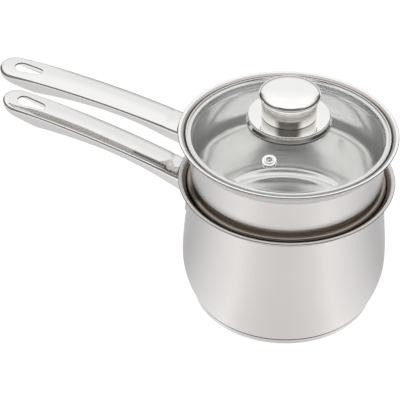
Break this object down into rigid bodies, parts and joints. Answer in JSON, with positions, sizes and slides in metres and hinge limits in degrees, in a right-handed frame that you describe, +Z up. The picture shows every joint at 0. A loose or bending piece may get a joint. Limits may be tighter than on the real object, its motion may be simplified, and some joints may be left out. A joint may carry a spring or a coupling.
{
  "type": "double boiler",
  "caption": "Belly-sided steel pot with a seated upper pan, long channel handles, and a domed glass lid with a steel band, steam vent and drum knob.",
  "frame": {"origin": "centre of the underside of the base, where the pot stands on the stove", "axes": "+Z up along the common axis of the pot, insert and lid; both handles point along -X"},
  "size_m": [0.314, 0.17, 0.1941],
  "materials": {
    "pan_steel": "satin brushed round the axis, polished at the lip",
    "handle_steel": "polished",
    "polished_steel": "mirror polished",
    "base_steel": "turned, satin",
    "core_aluminium": "plain",
    "lid_glass": "clear tempered glass, gloss",
    "soft_seal": "translucent silicone, matt",
    "screw_steel": "plain zinc-plated"
  },
  "bodies": {
    "lower_pot": {"lower_pot_shell": "pan_steel", "base_core": "core_aluminium", "base_cap": "base_steel", "lower_handle": "handle_steel", "lower_handle_bracket": "pan_steel"},
    "insert": {"insert_shell": "pan_steel", "insert_handle": "handle_steel", "insert_handle_bracket": "pan_steel"},
    "lid": {"lid_glass": "lid_glass", "lid_band": "polished_steel", "glass_seal": "soft_seal", "vent_eyelet": "polished_steel", "vent_washer_top": "polished_steel", "vent_washer_bottom": "polished_steel", "knob_base": "polished_steel", "knob_stem": "polished_steel", "knob_cap": "polished_steel", "knob_core": "screw_steel", "knob_gasket": "soft_seal", "under_gasket": "soft_seal", "screw_washer": "screw_steel", "knob_screw": "screw_steel"}
  },
  "joints": [
    {"name": "insert_lift", "type": "slide", "parent": "lower_pot", "child": "insert", "axis": [0, 0, 1], "range_m": [0, 0.1]},
    {"name": "lid_lift", "type": "slide", "parent": "insert", "child": "lid", "axis": [0, 0, 1], "range_m": [0, 0.08]}
  ]
}
